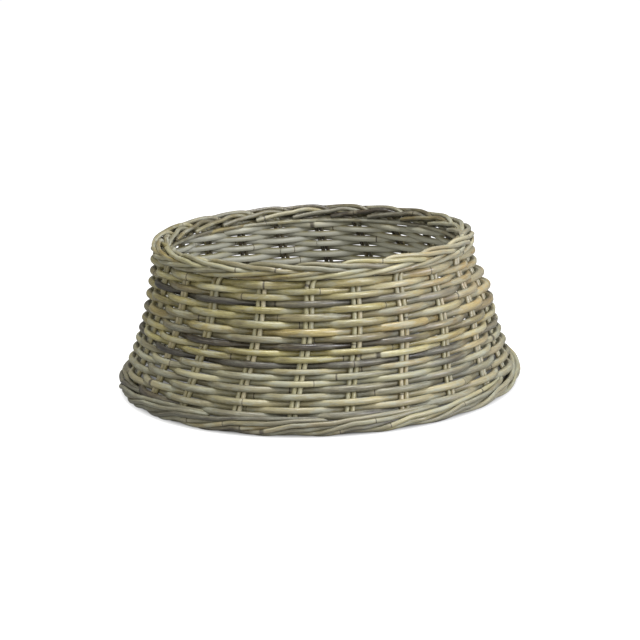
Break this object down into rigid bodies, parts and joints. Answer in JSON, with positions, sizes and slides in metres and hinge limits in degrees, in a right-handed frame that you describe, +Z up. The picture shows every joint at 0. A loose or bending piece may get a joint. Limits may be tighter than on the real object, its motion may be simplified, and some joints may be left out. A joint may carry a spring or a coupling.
{
  "type": "christmas tree skirt",
  "caption": "Tapered ring woven from round cane, open at both ends, with a plaited rim and a rolled foot, that stands round a christmas tree's base and hides its stand.",
  "frame": {"origin": "centre of the ring on the floor that the skirt stands on", "axes": "+Z up along the ring's axis, -Y toward the front of the picture, +X to the right in it"},
  "size_m": [0.5692, 0.5658, 0.2082],
  "materials": {
    "stake_cane": "weathered cane, pale greyish cream, satin",
    "weaver_grey": "weathered cane, grey olive, satin",
    "weaver_dark": "weathered cane, dark brown, satin",
    "weaver_straw": "weathered cane, straw, satin with a soft gloss",
    "weaver_olive": "weathered cane, yellow olive, satin",
    "border_cane": "weathered cane, grey beige, satin"
  },
  "bodies": {
    "root": {"stake_01a": "stake_cane", "stake_01b": "stake_cane", "stake_02a": "stake_cane", "stake_02b": "stake_cane", "stake_03a": "stake_cane", "stake_03b": "stake_cane", "stake_04a": "stake_cane", "stake_04b": "stake_cane", "stake_05a": "stake_cane", "stake_05b": "stake_cane", "stake_06a": "stake_cane", "stake_06b": "stake_cane", "stake_07a": "stake_cane", "stake_07b": "stake_cane", "stake_08a": "stake_cane", "stake_08b": "stake_cane", "stake_09a": "stake_cane", "stake_09b": "stake_cane", "stake_10a": "stake_cane", "stake_10b": "stake_cane", "stake_11a": "stake_cane", "stake_11b": "stake_cane", "stake_12a": "stake_cane", "stake_12b": "stake_cane", "stake_13a": "stake_cane", "stake_13b": "stake_cane", "stake_14a": "stake_cane", "stake_14b": "stake_cane", "stake_15a": "stake_cane", "stake_15b": "stake_cane", "stake_16a": "stake_cane", "stake_16b": "stake_cane", "stake_17a": "stake_cane", "stake_17b": "stake_cane", "stake_18a": "stake_cane", "stake_18b": "stake_cane", "stake_19a": "stake_cane", "stake_19b": "stake_cane", "stake_20a": "stake_cane", "stake_20b": "stake_cane", "stake_21a": "stake_cane", "stake_21b": "stake_cane", "stake_22a": "stake_cane", "stake_22b": "stake_cane", "weaver_a_1": "weaver_grey", "weaver_a_2": "weaver_dark", "weaver_a_3": "weaver_straw", "weaver_a_4": "weaver_straw", "weaver_a_5": "weaver_olive", "weaver_b_1": "weaver_grey", "weaver_b_2": "weaver_dark", "weaver_b_3": "weaver_straw", "weaver_b_4": "weaver_straw", "weaver_b_5": "weaver_olive", "top_border_rod_1": "border_cane", "top_border_rod_2": "border_cane", "top_border_rod_3": "border_cane", "foot_border_rod_1": "border_cane", "foot_border_rod_2": "border_cane", "foot_border_rod_3": "border_cane"}
  },
  "joints": []
}
